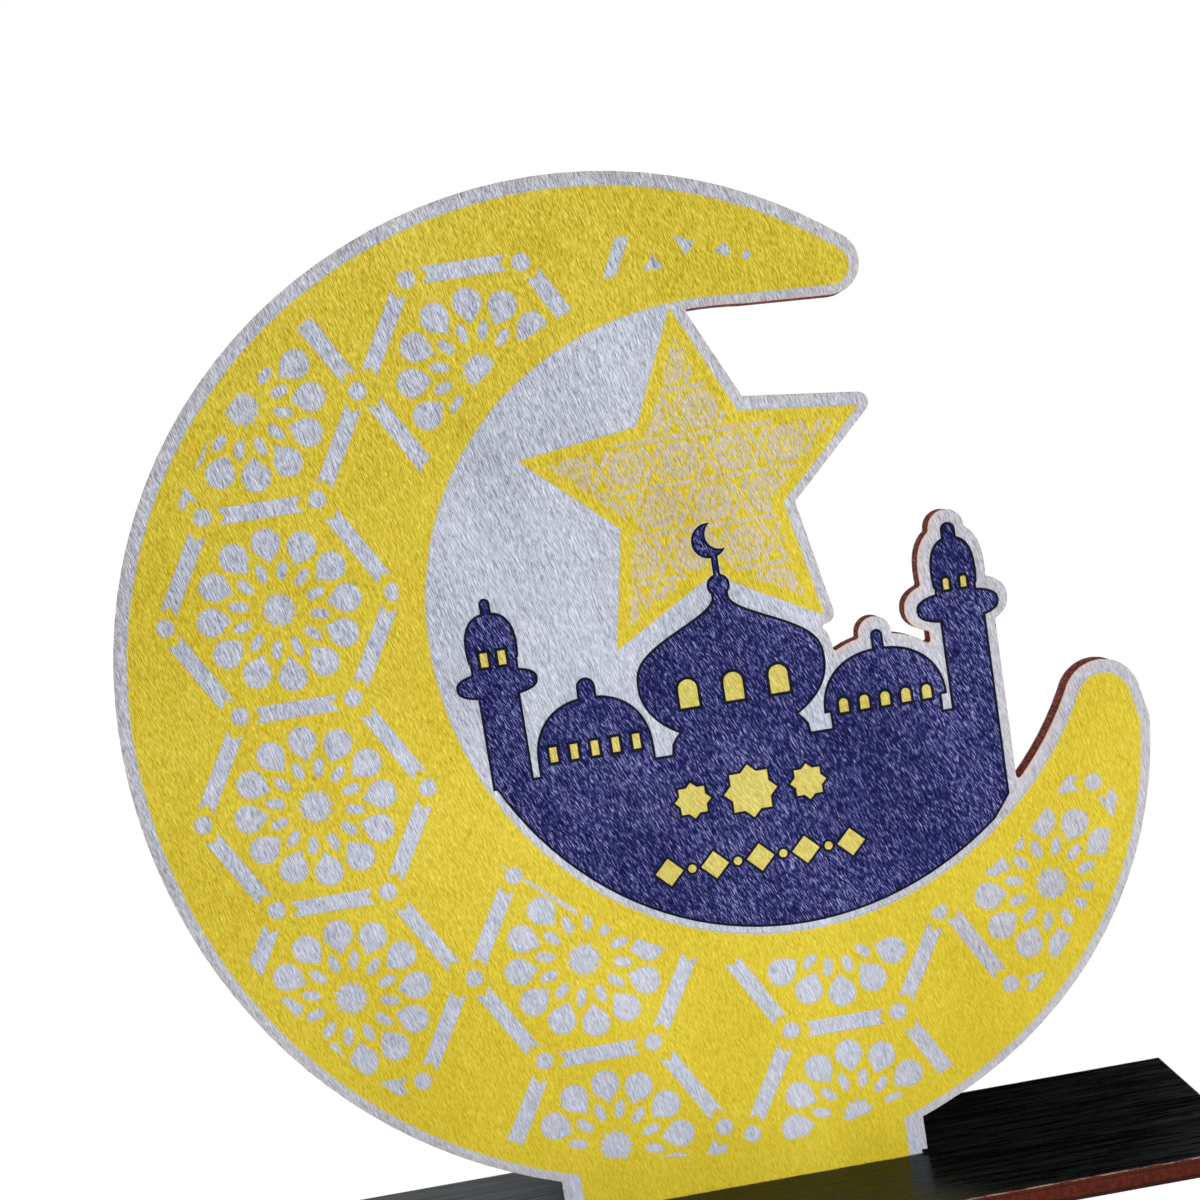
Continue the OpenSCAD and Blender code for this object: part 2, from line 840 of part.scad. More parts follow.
base_bottom_veneer();
base_core();
base_top_veneer();
base_paint();
panel_back_veneer();
panel_core();
panel_front_veneer();
ground_coat();
crescent_print();
star_print();
mosque_print();
window_print();
ornament_print();
outline_print();
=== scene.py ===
import math

import bpy
import numpy as np
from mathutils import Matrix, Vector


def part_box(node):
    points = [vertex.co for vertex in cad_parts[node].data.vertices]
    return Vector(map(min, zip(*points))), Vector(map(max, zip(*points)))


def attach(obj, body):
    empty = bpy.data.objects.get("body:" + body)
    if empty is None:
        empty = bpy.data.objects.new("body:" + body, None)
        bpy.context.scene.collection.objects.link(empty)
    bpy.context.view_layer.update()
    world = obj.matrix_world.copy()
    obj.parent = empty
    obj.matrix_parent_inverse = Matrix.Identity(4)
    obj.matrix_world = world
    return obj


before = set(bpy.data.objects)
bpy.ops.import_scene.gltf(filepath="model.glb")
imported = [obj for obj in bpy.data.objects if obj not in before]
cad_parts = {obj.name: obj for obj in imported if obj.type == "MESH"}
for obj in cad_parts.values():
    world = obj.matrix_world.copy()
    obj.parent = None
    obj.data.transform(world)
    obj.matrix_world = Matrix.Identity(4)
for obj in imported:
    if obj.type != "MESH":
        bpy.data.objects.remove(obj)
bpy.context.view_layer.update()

mm = 0.001
print("stage 1: packed model loaded")

# Camera: close to the panel, a little above its middle, and rolled
camera = dict(
    place=(-0.016324, -0.198833, 0.109761),
    turn=(85.1686, 8.9701, -3.0661),  # degrees about X, Y and Z
    lens=41.373,
    sensor=36.0,
    clip=(0.01, 20.0),
)


def makeCamera(values):
    data = bpy.data.cameras.new("camera")
    data.lens, data.sensor_width = values["lens"], values["sensor"]
    data.clip_start, data.clip_end = values["clip"]
    made = bpy.data.objects.new("camera", data)
    made.location = values["place"]
    made.rotation_euler = [math.radians(angle) for angle in values["turn"]]
    bpy.context.scene.collection.objects.link(made)
    bpy.context.scene.camera = made


makeCamera(camera)
print("stage 2: camera placed")


# Small helpers for node materials follow. A colour in a painter's 0 to 255 values, made linear
# by the sRGB formula
def ink(red, green, blue):
    shares = np.array([red, green, blue]) / 255
    low, high = shares / 12.92, ((shares + 0.055) / 1.055) ** 2.4
    return (*np.where(shares <= 0.04045, low, high), 1.0)


# Adds a node; each input is a number, a colour or another node's socket
def put(tree, kind, inputs=None, **settings):
    made = tree.nodes.new(kind)
    for name, value in settings.items():
        setattr(made, name, value)
    for name, value in (inputs or {}).items():
        if isinstance(value, bpy.types.NodeSocket):
            tree.links.new(value, made.inputs[name])
        else:
            made.inputs[name].default_value = value
    return made


def calc(tree, operation, first, second=0.0):
    return put(tree, "ShaderNodeMath", {0: first, 1: second}, operation=operation).outputs[0]


# The first value's share, and the rest from the second
def weigh(tree, share, first, second):
    return calc(tree, "ADD", calc(tree, "MULTIPLY", first, share),
                calc(tree, "MULTIPLY", second, 1 - share))


# How far a noise is from its mean of 0.5, times a size
def swing(tree, noise, size):
    return calc(tree, "MULTIPLY", calc(tree, "SUBTRACT", noise, 0.5), size)


# 0 before start, 1 after end, smooth between
def fade(tree, value, start, end):
    made = put(tree, "ShaderNodeMapRange", {"Value": value, "From Min": start, "From Max": end},
               interpolation_type="SMOOTHSTEP")
    return made.outputs["Result"]


def fadeOut(tree, value, start, end):
    return calc(tree, "SUBTRACT", 1.0, fade(tree, value, start, end))


# Mixes two colours; inputs 0, 6 and 7 and output 2 are the mix node's sockets for colours
def blendInks(tree, share, first, second):
    return put(tree, "ShaderNodeMix", {0: share, 6: first, 7: second}, data_type="RGBA").outputs[2]


def inkRamp(tree, value, stops):
    made = put(tree, "ShaderNodeValToRGB", {"Fac": value})
    marks = made.color_ramp.elements
    marks.remove(marks[1])
    marks[0].position, marks[0].color = stops[0][0], ink(*stops[0][1])
    for place, colour in stops[1:]:
        marks.new(place).color = ink(*colour)
    return made.outputs["Color"]


# The piece's own place (Object) or its own normal (Normal)
def coordinate(tree, kind):
    return put(tree, "ShaderNodeTexCoord").outputs[kind]


# One part of it: X, Y or Z
def partOf(tree, kind, axis):
    return put(tree, "ShaderNodeSeparateXYZ", {0: coordinate(tree, kind)}).outputs[axis]


# Noise whose specks have the given size along X, Y and Z, before they are turned
def drawnNoise(tree, size, detail, rough, seed=0.0, turn=(0.0, 0.0, 0.0)):
    mapped = put(tree, "ShaderNodeMapping", {"Vector": coordinate(tree, "Object"),
                 "Location": (seed, seed, seed), "Rotation": turn, "Scale": size},
                 vector_type="TEXTURE")
    made = put(tree, "ShaderNodeTexNoise", {"Vector": mapped.outputs[0], "Scale": 1.0,
               "Detail": detail, "Roughness": rough})
    return made.outputs["Fac"]


grainRoughness = 0.6


# Noise drawn out along the wood's grain. On a sheet that faces Y the grain leans by the given
# angle from upright, and on one that faces Z it turns by it from X.
def grain(tree, lean, across, along, detail, seed, axis="Y"):
    angle = math.radians(lean)
    turn = (0.0, -angle, 0.0) if axis == "Y" else (0.0, 0.0, angle)
    size = (across, across, along) if axis == "Y" else (along, across, across)
    return drawnNoise(tree, size, detail, grainRoughness, seed, turn)


# A new material with nothing in it
def bare(name):
    made = bpy.data.materials.new(name)
    made.use_nodes = True
    made.node_tree.nodes.clear()
    return made, made.node_tree


# Ends a material in one shader, with a relief in metres if there is one. Further sockets are
# given by name, with _ for a blank.
def finishShader(tree, colour, roughness, relief=None, depth=0.0, **constants):
    shader = put(tree, "ShaderNodeBsdfPrincipled", {"Base Color": colour, "Roughness": roughness})
    for name, value in constants.items():
        shader.inputs[name.replace("_", " ")].default_value = value
    if relief is not None:
        bump = put(tree, "ShaderNodeBump", {"Height": relief, "Strength": 1.0, "Distance": depth})
        tree.links.new(bump.outputs["Normal"], shader.inputs["Normal"])
    put(tree, "ShaderNodeOutputMaterial", {"Surface": shader.outputs[0]})


# Printed inks: every colour shows the sheet's grain, which leans like a backslash. Its light and
# dark streaks are partly the ink's own tone over the grain and partly painted relief light and
# shade.
# A noise is given as its size across and along the grain, its detail and its seed.
inks = dict(
    lean=14.0,                   # degrees
    navyLean=24.0,
    streak=(0.000085, 0.0009, 1.0, 0.0),
    ridge=(0.00013, 0.0034, 2.0, 0.031),  # longer ridges between the fine streaks
    cloud=(0.014, 0.028, 1.0, 0.2),       # slow changes of tone
    shares=(0.86, 0.4, 0.12),    # how much each of the three adds
    stark=(-0.8, 0.0, 4.0),      # the streaks' contrast, painted relief shade with it, grows to the left and upwards
    starkAtFoot=0.42,
    relief=0.00006,
    roughness=0.62,
    gloss=0.25,
    darkGloss=0.08,
    pale=[(0.3, (112, 116, 134)), (0.41, (156, 160, 177)), (0.5, (188, 192, 207)),
          (0.59, (213, 217, 231)), (0.7, (238, 241, 250))],
    rubbed=[(0.3, (112, 109, 117)), (0.41, (155, 152, 160)), (0.5, (186, 183, 190)),
            (0.59, (211, 208, 214)), (0.7, (236, 233, 238))],
    rubbedFrom=(0.015, 0.045),   # the coat turns as grey as its rim towards the right
    rubbedShare=0.6,
    yellow=[(0.3, (156, 133, 4)), (0.41, (190, 167, 22)), (0.5, (213, 190, 42)),
            (0.59, (230, 209, 70)), (0.7, (244, 227, 116))],
    paleYellow=[(0.3, (146, 130, 40)), (0.41, (182, 168, 70)), (0.5, (206, 190, 92)),
                (0.59, (224, 210, 126)), (0.7, (242, 232, 170))],
    lace=[(0.3, (134, 122, 116)), (0.41, (169, 157, 152)), (0.5, (194, 182, 178)),
          (0.59, (213, 202, 200)), (0.7, (232, 223, 223))],
    laceSpeck=(0.00016, 0.00016, 1.0, 0.6),
    laceShowing=(0.38, 0.48),    # the speck noise over which lace takes the place of yellow
    navy=[(0.3, (0, 0, 34)), (0.4, (4, 7, 57)), (0.48, (14, 19, 76)), (0.55, (42, 47, 109)),
          (0.62, (98, 102, 163)), (0.7, (184, 186, 230))],
    line=[(0.3, (2, 2, 10)), (0.5, (7, 7, 20)), (0.7, (34, 34, 64))],
    burntEdge=(46, 26, 24),
    sideFacing=(0.35, 0.75),     # burnt below this much of a normal towards the front
)


# Tone of the ink, 0.5 plus each noise's part, and the fine noise for the relief. The tone is partly
# the ink's own unevenness over the grain and partly painted light and shade of the grain's relief.
# In an even ink the grain is as marked everywhere.
def inkGrainAndShade(tree, values, lean, even=False):
    noises = [grain(tree, lean, *values[name]) for name in ("streak", "ridge", "cloud")]
    parts = [swing(tree, noise, share) for noise, share in zip(noises, values["shares"])]
    marked = calc(tree, "ADD", parts[0], parts[1])
    if not even:
        rise = put(tree, "ShaderNodeVectorMath", {0: coordinate(tree, "Object"),
                   1: values["stark"]}, operation="DOT_PRODUCT").outputs["Value"]
        marked = calc(tree, "MULTIPLY", marked, calc(tree, "ADD", rise, values["starkAtFoot"]))
    return calc(tree, "ADD", calc(tree, "ADD", marked, parts[2]), 0.5), noises[0]


def finishInk(tree, values, colour, fine, gloss="gloss"):
    finishShader(tree, colour, values["roughness"], fine, values["relief"],
                 Specular_IOR_Level=values[gloss])


def printedInk(name, values, stops, lean, even=False):
    material, tree = bare(name)
    tone, fine = inkGrainAndShade(tree, values, lean, even)
    finishInk(tree, values, inkRamp(tree, tone, stops), fine, "darkGloss" if even else "gloss")
    return material


# Lace that yellow specks break up
def laceInk(name, values):
    material, tree = bare(name)
    tone, fine = inkGrainAndShade(tree, values, values["lean"])
    speck = grain(tree, 0.0, *values["laceSpeck"])
    colour = blendInks(tree, fade(tree, speck, *values["laceShowing"]),
                       inkRamp(tree, tone, values["yellow"]), inkRamp(tree, tone, values["lace"]))
    finishInk(tree, values, colour, fine)
    return material


# Colour of a coat whose sides, which look away from the front, are burnt
def burntSides(tree, colour, values):
    facing = calc(tree, "ABSOLUTE", partOf(tree, "Normal", "Y"))
    return blendInks(tree, fadeOut(tree, facing, *values["sideFacing"]), colour,
                     ink(*values["burntEdge"]))


# The bare coat's colour, which turns greyer to the right
def coatColour(tree, values, tone):
    across = partOf(tree, "Object", "X")
    greyer = calc(tree, "MULTIPLY", fade(tree, across, *values["rubbedFrom"]), values["rubbedShare"])
    return blendInks(tree, greyer, inkRamp(tree, tone, values["pale"]),
                     inkRamp(tree, tone, values["rubbed"]))


def paleInk(name, values):
    material, tree = bare(name)
    tone, fine = inkGrainAndShade(tree, values, values["lean"])
    finishInk(tree, values, burntSides(tree, coatColour(tree, values, tone), values), fine)
    return material


# What a film's points carry: how far in from the layer's outline each is (inset), and how much
# the cut there looks to the left (leftward)
def mark(tree, name):
    return put(tree, "ShaderNodeAttribute", attribute_name=name).outputs["Fac"]


# The coat beside the cut: greyer, paler towards the right, smoked and singed by its inset
def rimInk(name, values, rim):
    material, tree = bare(name)
    tone, fine = inkGrainAndShade(tree, values, values["lean"])
    right = fade(tree, partOf(tree, "Object", "X"), *rim["palerFrom"])
    colour = blendInks(tree, calc(tree, "MULTIPLY", right, rim["palerShare"]),
                       inkRamp(tree, tone, values["rubbed"]), ink(*rim["paler"]))
    inset = mark(tree, "inset")
    inner = fade(tree, inset, rim["width"] * rim["innerFrom"], rim["width"])
    colour = blendInks(tree, inner, colour, coatColour(tree, values, tone))
    wavering = calc(tree, "ADD", inset, swing(tree, tone, rim["ragged"]))
    smoky = calc(tree, "MULTIPLY", fade(tree, mark(tree, "leftward"), *rim["smokyFrom"]),
                 rim["smokeShare"])
    smoky = calc(tree, "MULTIPLY", right, smoky)
    for tint, share in (("smoke", smoky), ("singe", rim["singeShare"])):
        near = fadeOut(tree, wavering, 0.0, rim[tint + "Width"])
        colour = blendInks(tree, calc(tree, "MULTIPLY", near, share), colour, ink(*rim[tint]))
    finishInk(tree, values, burntSides(tree, colour, values), fine)
    return material


# The print's ragged edge: pale coat shows between the last specks of ink
def fringeInk(name, values, fringe):
    material, tree = bare(name)
    tone, fine = inkGrainAndShade(tree, values, values["lean"])
    wavering = calc(tree, "ADD", mark(tree, "inset"), swing(tree, fine, fringe["ragged"]))
    showing = fadeOut(tree, wavering, 0.0, fringe["width"] * fringe["openShare"])
    colour = blendInks(tree, showing, inkRamp(tree, tone, values["yellow"]),
                       inkRamp(tree, tone, values["pale"]))
    finishInk(tree, values, colour, fine)
    return material


# Plywood: charred where the laser cut it, plain at the back and underneath. What is given for Y
# is for the panel's sheets and what is given for Z for the base's.
wood = dict(
    char=[(0.3, (46, 14, 12)), (0.42, (108, 46, 40)), (0.5, (144, 68, 58)), (0.58, (172, 90, 76)),
          (0.7, (204, 136, 118))],
    baseChar=[(0.26, (44, 13, 7)), (0.42, (66, 23, 12)), (0.52, (80, 30, 17)),
              (0.64, (94, 38, 23)), (0.8, (112, 53, 37))],
    baseLowChar=[(0.26, (24, 7, 4)), (0.42, (40, 14, 8)), (0.52, (53, 19, 12)),
                 (0.64, (66, 26, 17)), (0.8, (86, 40, 28))],
    frontChar=[(0.3, (78, 36, 26)), (0.5, (140, 82, 62)), (0.7, (188, 128, 98))],
    backChar=[(0.3, (96, 70, 68)), (0.5, (156, 128, 124)), (0.7, (196, 174, 168))],
    stripe=(0.00027, 0.0024),    # a stripe that the beam leaves, along the cut and across the sheet
    stripeDetail=(3.0, 0.62),    # its noise's detail and roughness
    stripeShare=dict(Y=0.55, Z=0.3),  # how much of the tone is stripes; the rest is blotches
    blotches=1100.0,             # blotches in a metre
    blotchDetail=(4.0, 0.65),
    glue=(0.00016, 0.85),        # width and strength of a glue line
    glueLine=(30, 11, 9),
    glueWobble=0.00025,
    sideRoughness=0.72,
    sideRelief=0.00004,
    plain=[(0.28, (176, 140, 98)), (0.42, (196, 162, 120)), (0.52, (207, 176, 135)),
           (0.64, (214, 186, 148)), (0.8, (222, 198, 164))],
    lean=dict(Y=14.0, Z=0.0),    # degrees
    band=(0.0042, 0.075, 2.0, 0.4),    # noises as for the inks
    streak=(0.00033, 0.013, 3.0, 0.1),
    pore=(0.00012, 0.0017, 1.0, 0.7),
    rings=(42.0, 0.09),          # how closely rings follow each other, and how strong they are
    streakShare=0.6,             # how much of the tone is streaks; the rest is rings
    poreShowing=(0.66, 0.74),
    poreShare=0.55,
    poreInk=(150, 112, 74),
    faceFrom=(0.4, 0.8),         # plain above this much of a normal along the sheet's axis
    faceRoughness=dict(Y=0.68, Z=0.7),
    faceRelief=0.000024,
    gloss=0.1,
)


# Burnt cut edge of a ply: stripes across the sheet and blotches, darker along the glue lines,
# which lie at the ply's two faces
def charredSide(tree, values, stops, node, axis):
    along, across = values["stripe"]
    size = (along, across, along) if axis == "Y" else (along, along, across)
    stripes = drawnNoise(tree, size, *values["stripeDetail"])
    detail, rough = values["blotchDetail"]
    blotch = put(tree, "ShaderNodeTexNoise", {"Vector": coordinate(tree, "Object"),
                 "Scale": values["blotches"], "Detail": detail, "Roughness": rough}).outputs["Fac"]
    colour = inkRamp(tree, weigh(tree, values["stripeShare"][axis], stripes, blotch), stops)
    height = calc(tree, "ADD", partOf(tree, "Object", axis),
                  swing(tree, blotch, values["glueWobble"]))
    low, high = [corner["XYZ".index(axis)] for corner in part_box(node)]
    line, strength = values["glue"]
    near = calc(tree, "MAXIMUM", fadeOut(tree, height, low, low + line),
                fade(tree, height, high - line, high))
    return blendInks(tree, calc(tree, "MULTIPLY", near, strength), colour,
                     ink(*values["glueLine"])), stripes


# A ply of which only the edge shows
def edgePly(name, values, stops, node, axis):
    material, tree = bare(name)
    colour, stripes = charredSide(tree, values, stops, node, axis)
    finishShader(tree, colour, values["sideRoughness"], stripes, values["sideRelief"],
                 Specular_IOR_Level=values["gloss"])
    return material


# Bare sanded veneer: slow growth rings, fine streaks and small dark pores
def plainFace(tree, values, axis):
    bands, streaks, pores = [grain(tree, values["lean"][axis], *values[name], axis=axis)
                             for name in ("band", "streak", "pore")]
    count, depth = values["rings"]
    wave = calc(tree, "SINE", calc(tree, "MULTIPLY", bands, count))
    rings = calc(tree, "ADD", calc(tree, "MULTIPLY", wave, depth), 0.5)
    colour = inkRamp(tree, weigh(tree, values["streakShare"], streaks, rings), values["plain"])
    pits = calc(tree, "MULTIPLY", fade(tree, pores, *values["poreShowing"]), values["poreShare"])
    return blendInks(tree, pits, colour, ink(*values["poreInk"])), streaks


# An outer ply: plain on its face, burnt round its side
def facedPly(name, values, stops, node, axis):
    material, tree = bare(name)
    side, stripes = charredSide(tree, values, stops, node, axis)
    face, streaks = plainFace(tree, values, axis)
    facing = calc(tree, "ABSOLUTE", partOf(tree, "Normal", axis))
    colour = blendInks(tree, fade(tree, facing, *values["faceFrom"]), side, face)
    finishShader(tree, colour, values["faceRoughness"][axis], calc(tree, "ADD", stripes, streaks),
                 values["faceRelief"], Specular_IOR_Level=values["gloss"])
    return material


# The base's paint: black satin over long grain
paint = dict(
    black=[(0.3, (8, 8, 10)), (0.5, (10, 10, 12)), (0.65, (12, 12, 14)), (0.8, (16, 17, 20))],
    long=(0.00045, 0.016, 4.0, 0.0),  # noises as for the inks
    fine=(0.00018, 0.005, 2.0, 0.3),
    longShare=0.6,
    roughFrom=(0.4, 0.66),       # the tones over which the roughness rises
    roughness=(0.1, 0.55),
    relief=0.00003,
    gloss=0.34,
    sheen=(0.62, 0.91, 1.0, 1.0),
)


def blackPaint(name, values):
    material, tree = bare(name)
    long, fine = [grain(tree, 0.0, *values[kind], axis="Z") for kind in ("long", "fine")]
    tone = weigh(tree, values["longShare"], long, fine)
    start, end = values["roughFrom"]
    least, most = values["roughness"]
    rough = put(tree, "ShaderNodeMapRange", {"Value": tone, "From Min": start, "From Max": end,
                "To Min": least, "To Max": most}).outputs["Result"]
    finishShader(tree, inkRamp(tree, tone, values["black"]), rough, tone, values["relief"],
                 Specular_IOR_Level=values["gloss"], Specular_Tint=values["sheen"])
    return material


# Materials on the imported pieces
yellow = printedInk("yellowInk", inks, inks["yellow"], inks["lean"])
paleYellow = printedInk("windowInk", inks, inks["paleYellow"], inks["navyLean"])
dressed = {
    "ground_coat": paleInk("paleInk", inks),
    "crescent_print": yellow,
    "star_print": yellow,
    "window_print": paleYellow,
    "ornament_print": paleYellow,
    "mosque_print": printedInk("navyInk", inks, inks["navy"], inks["navyLean"], even=True),
    "outline_print": printedInk("lineInk", inks, inks["line"], inks["navyLean"], even=True),
    "base_paint": blackPaint("blackPaint", paint),
}
plies = [
    ("panel_front_veneer", edgePly, "frontPlyEdge", "frontChar", "Y"),
    ("panel_core", edgePly, "corePlyEdge", "char", "Y"),
    ("panel_back_veneer", facedPly, "backPly", "backChar", "Y"),
    ("base_bottom_veneer", facedPly, "baseBottomPly", "baseLowChar", "Z"),
    ("base_core", edgePly, "baseCorePly", "baseChar", "Z"),
    ("base_top_veneer", edgePly, "baseTopPly", "baseChar", "Z"),
]
for node, makePly, name, char, axis in plies:
    dressed[node] = makePly(name, wood, wood[char], node, axis)
for node, material in dressed.items():
    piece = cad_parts[node]
    piece.data.materials.clear()
    piece.data.materials.append(material)
print("stage 3: packed pieces dressed")


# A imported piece's corners, and for each of its triangles the numbers of three of them
def trianglesOf(node):
    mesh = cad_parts[node].data
    mesh.calc_loop_triangles()
    places = np.zeros(len(mesh.vertices) * 3)
    mesh.vertices.foreach_get("co", places)
    corners = np.zeros(len(mesh.loop_triangles) * 3, int)
    mesh.loop_triangles.foreach_get("vertices", corners)
    return places.reshape(-1, 3), corners.reshape(-1, 3)


# Rims are profiles carried along the outline of a flat layer
tracing = dict(
    decimals=7,                  # corners that agree to this many decimals are one
    flatness=0.001 * mm,         # how far a face's corners may lie from its level
    shortest=0.03 * mm,          # a shorter side becomes its first corner
    passes=6,                    # doublings in which a run of up to 64 such sides is joined
)


# Outline of a layer's outer face, from its triangles: corners at one place are merged, and a side
# that only one triangle of the face has is on the outline. Returns the places and, for each piece
# of outline, its first and last corner.
def outline(node, faceAxis, facing, values=tracing):
    places, corners = trianglesOf(node)
    places, merged = np.unique(places.round(values["decimals"]), axis=0, return_inverse=True)
    corners = merged.ravel()[corners]
    level = (facing * places[:, faceAxis]).max()
    offLevel = np.abs(facing * places[corners][:, :, faceAxis] - level).max(axis=1)
    face = corners[offLevel < values["flatness"]]
    sides = face[:, [[0, 1], [1, 2], [2, 0]]].reshape(-1, 2)
    count = len(places)
    there, back = sides[:, 0] * count + sides[:, 1], sides[:, 1] * count + sides[:, 0]
    sides = sides[~np.isin(there, back)]
    lengths = np.linalg.norm(places[sides[:, 1]] - places[sides[:, 0]], axis=1)
    tiny = lengths < values["shortest"]
    joined = np.arange(count)
    joined[sides[tiny, 1]] = sides[tiny, 0]
    for _ in range(values["passes"]):
        joined = joined[joined]
    sides = joined[sides[~tiny]]
    return places, sides[sides[:, 0] != sides[:, 1]]


# Carries a closed profile of (inset, depth) points along a layer's outline. At a corner the
# profile stands along the sum of its two sides' inward normals, divided by one plus their dot
# product, so that both sides keep their distance. Where the outline is cut short, a cap closes it.
def carryProfile(name, node, faceAxis, facing, profile, material, body, slot, keep=None):
    places, sides = outline(node, faceAxis, facing)
    up = np.zeros(3)
    up[faceAxis] = facing
    run = places[sides[:, 1]] - places[sides[:, 0]]
    run /= np.linalg.norm(run, axis=1)[:, None]
    inward = np.cross(up, run)
    normals = np.zeros((2, len(places), 3))
    normals[0, sides[:, 0]] = inward
    normals[1, sides[:, 1]] = inward
    used = np.unique(sides)
    first, second = normals[0, used], normals[1, used]
    miter = (first + second) / (1 + np.clip((first * second).sum(axis=1), 0, 1))[:, None]
    insets, depths = np.array(profile).T
    grid = places[used][:, None] + miter[:, None] * insets[:, None] - up * depths[:, None]
    if keep is not None:
        sides = sides[keep(places[sides].mean(axis=1))]
    index = np.zeros(len(places), int)
    index[used] = np.arange(len(used))
    start, end = index[sides[:, 0]] * len(insets), index[sides[:, 1]] * len(insets)
    step = np.arange(len(insets))
    after = (step + 1) % len(insets)
    faces = np.stack([start[:, None] + step, end[:, None] + step, end[:, None] + after,
                      start[:, None] + after], axis=2).reshape(-1, 4).tolist()
    faces += (np.setdiff1d(start, end)[:, None] + step).tolist()
    faces += (np.setdiff1d(end, start)[:, None] + step[::-1]).tolist()
    made = meshPiece(name, grid.reshape(-1, 3), faces, material, body, slot)
    marks = dict(inset=np.tile(np.maximum(insets, 0), len(used)),
                 leftward=np.repeat(miter[:, 0], len(insets)))
    for kind, values in marks.items():
        attribute = made.data.attributes.new(kind, "FLOAT", "POINT")
        attribute.data.foreach_set("value", values.astype(np.float32))


# Puts points and faces into a mesh that rides on a body
def meshPiece(name, points, faces, material, body, slot):
    mesh = bpy.data.meshes.new(name)
    mesh.from_pydata(points.tolist(), [], faces)
    mesh.update()
    mesh.materials.append(material)
    made = bpy.data.objects.new(name, mesh)
    bpy.context.scene.collection.objects.link(made)
    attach(made, body)
    return made


# The coat's rim: a soft arris, a little smoked and singed at the cut
rim = dict(
    width=1.5 * mm,
    innerFrom=0.3,               # the share of the width from which it turns into the bare coat
    proud=0.012 * mm,
    arris=0.06 * mm,
    side=0.09 * mm,              # how far it goes down the cut
    start=3 * mm,                # above the coat's lower end, which stands in the slot
    palerFrom=(-0.005, 0.03),    # places along X between which it pales and the smoke sets in
    palerShare=0.12,
    paler=(226, 224, 226),
    ragged=0.0002,
    smokeWidth=0.0008,
    smokeShare=0.6,
    smokyFrom=(-0.3, 0.5),       # the smoke clung where the cut looks to the left
    smoke=(220, 186, 171),
    singeWidth=0.00011,
    singeShare=0.6,
    singe=(112, 92, 92),
)


# A thin film: down the cut side, round the arris and inwards over the face. The numbers are
# shares of how proud it stands, of its arris and of its width.
def rimProfile(values):
    proud, arris, width, side = [values[name] for name in ("proud", "arris", "width", "side")]
    return [(-proud, side), (-proud, arris * 0.6), (-proud * 0.4 + arris * 0.2, arris * 0.18),
            (arris * 0.7, -proud), (width * 0.25, -proud), (width * 0.5, -proud),
            (width * 0.75, -proud), (width - arris, -proud), (width, proud), (width * 0.5, proud),
            (arris, side * 0.5)]


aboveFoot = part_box("ground_coat")[0].z + rim["start"]


def clearOfFoot(middles):
    return middles[:, 2] > aboveFoot


carryProfile("coat_rim", "ground_coat", 1, -1, rimProfile(rim), rimInk("paleRim", inks, rim),
             "panel", "pale_ink", keep=clearOfFoot)
print("stage 4: coat rim carried round the panel")

# The yellow print's fringe: a film on its edge through which the coat shows in specks
fringe = dict(
    width=0.32 * mm,
    openShare=0.75,              # the share of the width over which the coat shows
    proud=0.008 * mm,
    side=0.06 * mm,
    ragged=0.0016,
)

# The dark line's film, which runs a little over the edges of the mosque and its windows
overrun = dict(
    width=0.1 * mm,
    proud=0.006 * mm,
    side=0.03 * mm,
)


# A film that is square outside and thins inwards
def filmProfile(values):
    proud, width, side = [values[name] for name in ("proud", "width", "side")]
    return [(-proud, side), (-proud, -proud), (width * 0.33, -proud), (width * 0.66, -proud),
            (width, -proud * 0.5), (width, proud), (proud, side)]


fringeMaterial = fringeInk("fringeInk", inks, fringe)
for layer in ("crescent", "star"):
    carryProfile(layer + "_fringe", layer + "_print", 1, -1, filmProfile(fringe), fringeMaterial,
                 "panel", "yellow_ink", keep=clearOfFoot)
for layer in ("mosque", "window"):
    carryProfile(layer + "_line", layer + "_print", 1, -1, filmProfile(overrun),
                 dressed["outline_print"], "panel", "dark_ink")
print("stage 5: fringes and dark lines carried round the prints")

# The star's lace, in mm: rosettes on a grid whose hexagons share corners, small as on the real
# print. The chips' own sizes are those of the crescent's rosettes, and the share makes them small.
lace = dict(
    centre=(14.9 - 4.9, 37.45 + 80.6),   # one rosette's middle, across and up
    side=3.87,                           # side of a hexagon
    share=0.2335,                        # a rosette's size against the crescent's
    reach=8,                             # rows and columns of the grid on each side of it
    star=(13.0 - 4.9, 26.2 + 80.6),      # the star's middle
    starRadius=26.2,
    starNotch=12.7,
    starTurn=0.5,                        # degrees
    margin=1.75,                         # plain yellow round the lace
    drop=(9.6, 2.35, 3.2),               # ring radius, round end, length
    dropPoint=6,                         # the higher, the narrower the drop's point
    petal=(5.6, 1.9, 1.05),              # ring radius, half length, half width
    seed=(3.0, 2.1),                     # radius of its points and of the notches between
    bar=(14.4, 6.0, 1.6),                # distance, half length, half width
    dot=1.6,                             # radius
    rimPoints=28,
    proud=0.012,                         # how far the chips stand over the print
    sunk=0.004,                          # and how far they reach into it
    flatness=0.0001,                     # how far the print's corners may lie from its front
    halvings=9,                          # steps in which a chip is cut off at the print's edge
)


# True where a point is in any triangle: it lies on one side of all three sides
def insideTriangles(points, triangles):
    a, b, c = triangles[:, 0], triangles[:, 1], triangles[:, 2]
    turns = [np.cross(q - p, points[:, None] - p) for p, q in ((a, b), (b, c), (c, a))]
    stack = np.stack(turns)
    return ((stack >= 0).all(axis=0) | (stack <= 0).all(axis=0)).any(axis=1)


